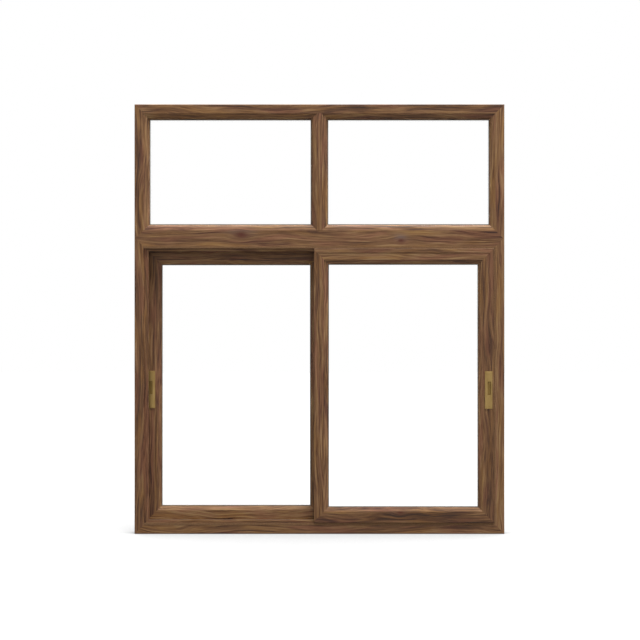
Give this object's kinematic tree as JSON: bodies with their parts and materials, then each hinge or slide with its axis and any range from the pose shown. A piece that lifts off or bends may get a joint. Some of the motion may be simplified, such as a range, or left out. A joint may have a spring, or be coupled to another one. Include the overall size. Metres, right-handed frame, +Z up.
{
  "type": "sliding window with fixed upper lights",
  "caption": "Walnut-grained sliding window: fixed upper lights over glazed sashes that slide past each other in a mitred outer frame.",
  "frame": {"origin": "middle of the sill's underside, at mid depth of the outer frame", "axes": "+Z up, the room side with the pulls faces -Y, +X to the right seen from the room"},
  "size_m": [1.5, 0.09, 1.742],
  "materials": {
    "grained_profile": "matte",
    "clear_glass": "polished",
    "seal_rubber": "matte",
    "bar_aluminium": "satin",
    "strip_aluminium": "satin",
    "pull_brass": "satin",
    "runner_plastic": "matte"
  },
  "bodies": {
    "outer_frame": {"frame_head": "grained_profile", "frame_sill": "grained_profile", "left_jamb": "grained_profile", "left_keeper": "pull_brass", "right_jamb": "grained_profile", "right_keeper": "pull_brass", "sash_stops": "seal_rubber", "sill_rails": "bar_aluminium", "transom": "grained_profile", "upper_left_beads": "grained_profile", "upper_left_gaskets": "seal_rubber", "upper_left_glass": "clear_glass", "upper_left_spacer": "bar_aluminium", "upper_mullion": "grained_profile", "upper_right_beads": "grained_profile", "upper_right_gaskets": "seal_rubber", "upper_right_glass": "clear_glass", "upper_right_spacer": "bar_aluminium"},
    "left_sash": {"left_sash_beads": "grained_profile", "left_sash_bottom_rail": "grained_profile", "left_sash_gaskets": "seal_rubber", "left_sash_glass": "clear_glass", "left_sash_guides": "runner_plastic", "left_sash_interlock": "strip_aluminium", "left_sash_latch": "pull_brass", "left_sash_lock_stile": "grained_profile", "left_sash_meeting_stile": "grained_profile", "left_sash_pull": "pull_brass", "left_sash_rollers": "runner_plastic", "left_sash_spacer": "bar_aluminium", "left_sash_top_rail": "grained_profile"},
    "right_sash": {"right_sash_beads": "grained_profile", "right_sash_bottom_rail": "grained_profile", "right_sash_gaskets": "seal_rubber", "right_sash_glass": "clear_glass", "right_sash_guides": "runner_plastic", "right_sash_interlock": "strip_aluminium", "right_sash_latch": "pull_brass", "right_sash_lock_stile": "grained_profile", "right_sash_meeting_stile": "grained_profile", "right_sash_pull": "pull_brass", "right_sash_rollers": "runner_plastic", "right_sash_spacer": "bar_aluminium", "right_sash_top_rail": "grained_profile"}
  },
  "joints": [
    {"name": "left_sash_slide", "type": "slide", "parent": "outer_frame", "child": "left_sash", "axis": [1, 0, 0], "range_m": [0, 0.62]},
    {"name": "right_sash_slide", "type": "slide", "parent": "outer_frame", "child": "right_sash", "axis": [-1, 0, 0], "range_m": [0, 0.62]}
  ]
}
